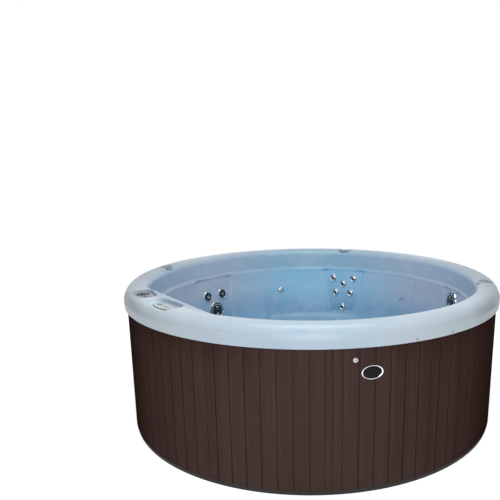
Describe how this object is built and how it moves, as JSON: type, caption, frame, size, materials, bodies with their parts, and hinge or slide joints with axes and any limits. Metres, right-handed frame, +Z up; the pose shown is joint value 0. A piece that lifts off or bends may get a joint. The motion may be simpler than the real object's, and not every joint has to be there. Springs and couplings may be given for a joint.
{
  "type": "hot tub",
  "caption": "Round portable hot tub with a moulded seat shell, jets, filter ledge, rim controls and a slatted cabinet with a lift-off access door.",
  "frame": {"origin": "centre of the footprint on the floor", "axes": "+Z up, -Y towards the side with the filter ledge and the access door"},
  "size_m": [1.98, 1.98, 0.74],
  "materials": {
    "acrylic": "glossy marbled acrylic",
    "cabinet": "dark stained, satin",
    "base": "textured",
    "timber": "sawn",
    "foam": "matte",
    "chromed": "chrome-plated",
    "lock_metal": "bright",
    "badge": "gloss, bare",
    "knob": "satin",
    "diverter_knob": "satin",
    "valve": "satin",
    "panel": "satin",
    "lens": "gloss",
    "button": "matte",
    "housing": "matte",
    "collar": "satin",
    "cap": "satin",
    "pleats": "pleated",
    "dark_trim": "satin",
    "motor": "satin",
    "impeller": "moulded",
    "steel": "brushed",
    "pipe": "smooth",
    "jet_face": "satin"
  },
  "bodies": {
    "tub": {"base_pan": "base", "frame_posts": "timber", "top_ring": "timber", "shell_supports": "foam", "shell": "acrylic", "skirt_left": "cabinet", "skirt_right": "cabinet", "seam_strip": "cabinet", "air_valve_bodies": "valve", "diverter_bodies": "valve", "control_panel": "panel", "display_lens": "lens", "filter_housing": "housing", "filter_collar": "collar", "filter_rest": "housing", "suction_cover": "dark_trim", "temperature_sensor": "dark_trim", "wall_fittings": "chromed", "pump_motor": "motor", "pump_wet_end": "dark_trim", "heater": "steel", "control_box": "housing", "suction_pipe": "pipe", "pressure_pipe": "pipe", "water_manifold": "pipe", "jet_bodies": "chromed"},
    "door": {"access_door": "cabinet", "badge_plate": "badge"},
    "lock": {"door_lock": "lock_metal"},
    "air_knob_back": {"air_knob_back": "knob"},
    "air_knob_left": {"air_knob_left": "knob"},
    "air_knob_right": {"air_knob_right": "knob"},
    "diverter_knob_rear": {"diverter_knob_rear": "diverter_knob"},
    "diverter_knob_front": {"diverter_knob_front": "diverter_knob"},
    "panel_button_1": {"panel_button_1": "button"},
    "panel_button_2": {"panel_button_2": "button"},
    "panel_button_3": {"panel_button_3": "button"},
    "filter_insert": {"filter_cap": "cap", "filter_cartridge": "pleats"},
    "impeller": {"pump_impeller": "impeller"},
    "back_jet_1": {"back_jet_1": "jet_face"},
    "back_jet_2": {"back_jet_2": "jet_face"},
    "back_jet_3": {"back_jet_3": "jet_face"},
    "back_jet_4": {"back_jet_4": "jet_face"},
    "back_jet_5": {"back_jet_5": "jet_face"},
    "back_jet_6": {"back_jet_6": "jet_face"},
    "left_rear_jet_1": {"left_rear_jet_1": "jet_face"},
    "left_rear_jet_2": {"left_rear_jet_2": "jet_face"},
    "left_rear_jet_3": {"left_rear_jet_3": "jet_face"},
    "left_jet_1": {"left_jet_1": "jet_face"},
    "left_jet_2": {"left_jet_2": "jet_face"},
    "right_jet_1": {"right_jet_1": "jet_face"},
    "right_jet_2": {"right_jet_2": "jet_face"},
    "right_front_jet_1": {"right_front_jet_1": "jet_face"},
    "right_front_jet_2": {"right_front_jet_2": "jet_face"},
    "right_front_jet_3": {"right_front_jet_3": "jet_face"},
    "right_front_jet_4": {"right_front_jet_4": "jet_face"},
    "foot_jet_left": {"foot_jet_left": "jet_face"},
    "foot_jet_right": {"foot_jet_right": "jet_face"},
    "front_wall_jet": {"front_wall_jet": "jet_face"}
  },
  "joints": [
    {"name": "door_lift_off", "type": "slide", "parent": "tub", "child": "door", "axis": [0.3453, -0.9385, 0], "range_m": [0, 0.35]},
    {"name": "door_lock_turn", "type": "hinge", "parent": "door", "child": "lock", "pos_m": [0.21208, -0.95268, 0.595], "axis": [0.2173, -0.9761, 0], "range_deg": [0, 90]},
    {"name": "air_knob_back_turn", "type": "hinge", "parent": "tub", "child": "air_knob_back", "pos_m": [0.18063, 0.88781, 0.722], "axis": [0, 0, 1], "range_deg": [0, 150]},
    {"name": "air_knob_left_turn", "type": "hinge", "parent": "tub", "child": "air_knob_left", "pos_m": [-0.87832, 0.22225, 0.722], "axis": [0, 0, 1], "range_deg": [0, 150]},
    {"name": "air_knob_right_turn", "type": "hinge", "parent": "tub", "child": "air_knob_right", "pos_m": [0.89674, -0.12922, 0.722], "axis": [0, 0, 1], "range_deg": [0, 150]},
    {"name": "diverter_knob_rear_turn", "type": "hinge", "parent": "tub", "child": "diverter_knob_rear", "pos_m": [-0.80436, -0.41694, 0.722], "axis": [0, 0, 1], "range_deg": [0, 180]},
    {"name": "diverter_knob_front_turn", "type": "hinge", "parent": "tub", "child": "diverter_knob_front", "pos_m": [-0.75811, -0.49609, 0.722], "axis": [0, 0, 1], "range_deg": [0, 180]},
    {"name": "panel_button_1_press", "type": "slide", "parent": "tub", "child": "panel_button_1", "axis": [0, 0, -1], "range_m": [0, 0.001], "stiffness_N_per_m": 400},
    {"name": "panel_button_2_press", "type": "slide", "parent": "tub", "child": "panel_button_2", "axis": [0, 0, -1], "range_m": [0, 0.001], "stiffness_N_per_m": 400},
    {"name": "panel_button_3_press", "type": "slide", "parent": "tub", "child": "panel_button_3", "axis": [0, 0, -1], "range_m": [0, 0.001], "stiffness_N_per_m": 400},
    {"name": "filter_lift_out", "type": "slide", "parent": "tub", "child": "filter_insert", "axis": [0, 0, 1], "range_m": [0, 0.32]},
    {"name": "impeller_spin", "type": "hinge", "parent": "tub", "child": "impeller", "pos_m": [0.005, -0.56, 0.122], "axis": [0, 1, 0], "continuous": true},
    {"name": "back_jet_1_turn", "type": "hinge", "parent": "tub", "child": "back_jet_1", "pos_m": [0.24261, 0.81903, 0.547], "axis": [-0.2034, -0.9735, 0.1045], "range_deg": [0, 120]},
    {"name": "back_jet_2_turn", "type": "hinge", "parent": "tub", "child": "back_jet_2", "pos_m": [0.10557, 0.84765, 0.547], "axis": [-0.2034, -0.9735, 0.1045], "range_deg": [0, 120]},
    {"name": "back_jet_3_turn", "type": "hinge", "parent": "tub", "child": "back_jet_3", "pos_m": [0.17325, 0.82933, 0.508], "axis": [-0.2034, -0.9735, 0.1045], "range_deg": [0, 120]},
    {"name": "back_jet_4_turn", "type": "hinge", "parent": "tub", "child": "back_jet_4", "pos_m": [0.22284, 0.81242, 0.447], "axis": [-0.2034, -0.9735, 0.1045], "range_deg": [0, 120]},
    {"name": "back_jet_5_turn", "type": "hinge", "parent": "tub", "child": "back_jet_5", "pos_m": [0.12104, 0.83369, 0.447], "axis": [-0.2034, -0.9735, 0.1045], "range_deg": [0, 120]},
    {"name": "back_jet_6_turn", "type": "hinge", "parent": "tub", "child": "back_jet_6", "pos_m": [0.16982, 0.81287, 0.348], "axis": [-0.2034, -0.9735, 0.1045], "range_deg": [0, 120]},
    {"name": "left_rear_jet_1_turn", "type": "hinge", "parent": "tub", "child": "left_rear_jet_1", "pos_m": [-0.627, 0.57036, 0.492], "axis": [0.7805, -0.6164, 0.1045], "range_deg": [0, 120]},
    {"name": "left_rear_jet_2_turn", "type": "hinge", "parent": "tub", "child": "left_rear_jet_2", "pos_m": [-0.70013, 0.47775, 0.492], "axis": [0.7805, -0.6164, 0.1045], "range_deg": [0, 120]},
    {"name": "left_rear_jet_3_turn", "type": "hinge", "parent": "tub", "child": "left_rear_jet_3", "pos_m": [-0.65532, 0.51754, 0.392], "axis": [0.7805, -0.6164, 0.1045], "range_deg": [0, 120]},
    {"name": "left_jet_1_turn", "type": "hinge", "parent": "tub", "child": "left_jet_1", "pos_m": [-0.83628, -0.13245, 0.503], "axis": [0.9823, 0.1556, 0.1045], "range_deg": [0, 120]},
    {"name": "left_jet_2_turn", "type": "hinge", "parent": "tub", "child": "left_jet_2", "pos_m": [-0.82154, -0.13012, 0.361], "axis": [0.9823, 0.1556, 0.1045], "range_deg": [0, 120]},
    {"name": "right_jet_1_turn", "type": "hinge", "parent": "tub", "child": "right_jet_1", "pos_m": [0.81558, 0.24004, 0.536], "axis": [-0.9541, -0.2808, 0.1045], "range_deg": [0, 120]},
    {"name": "right_jet_2_turn", "type": "hinge", "parent": "tub", "child": "right_jet_2", "pos_m": [0.80147, 0.23589, 0.396], "axis": [-0.9541, -0.2808, 0.1045], "range_deg": [0, 120]},
    {"name": "right_front_jet_1_turn", "type": "hinge", "parent": "tub", "child": "right_front_jet_1", "pos_m": [0.71776, -0.46341, 0.569], "axis": [-0.8569, 0.5048, 0.1045], "range_deg": [0, 120]},
    {"name": "right_front_jet_2_turn", "type": "hinge", "parent": "tub", "child": "right_front_jet_2", "pos_m": [0.75227, -0.40482, 0.569], "axis": [-0.8569, 0.5048, 0.1045], "range_deg": [0, 120]},
    {"name": "right_front_jet_3_turn", "type": "hinge", "parent": "tub", "child": "right_front_jet_3", "pos_m": [0.72719, -0.42835, 0.477], "axis": [-0.8569, 0.5048, 0.1045], "range_deg": [0, 120]},
    {"name": "right_front_jet_4_turn", "type": "hinge", "parent": "tub", "child": "right_front_jet_4", "pos_m": [0.71542, -0.42141, 0.347], "axis": [-0.8569, 0.5048, 0.1045], "range_deg": [0, 120]},
    {"name": "foot_jet_left_turn", "type": "hinge", "parent": "tub", "child": "foot_jet_left", "pos_m": [-0.238, -0.226, 0.15], "axis": [0, 0, 1], "range_deg": [0, 120]},
    {"name": "foot_jet_right_turn", "type": "hinge", "parent": "tub", "child": "foot_jet_right", "pos_m": [0.238, -0.226, 0.15], "axis": [0, 0, 1], "range_deg": [0, 120]},
    {"name": "front_wall_jet_turn", "type": "hinge", "parent": "tub", "child": "front_wall_jet", "pos_m": [-0.548, -0.41693, 0.43], "axis": [0, 0.9511, 0.309], "range_deg": [0, 120]}
  ]
}
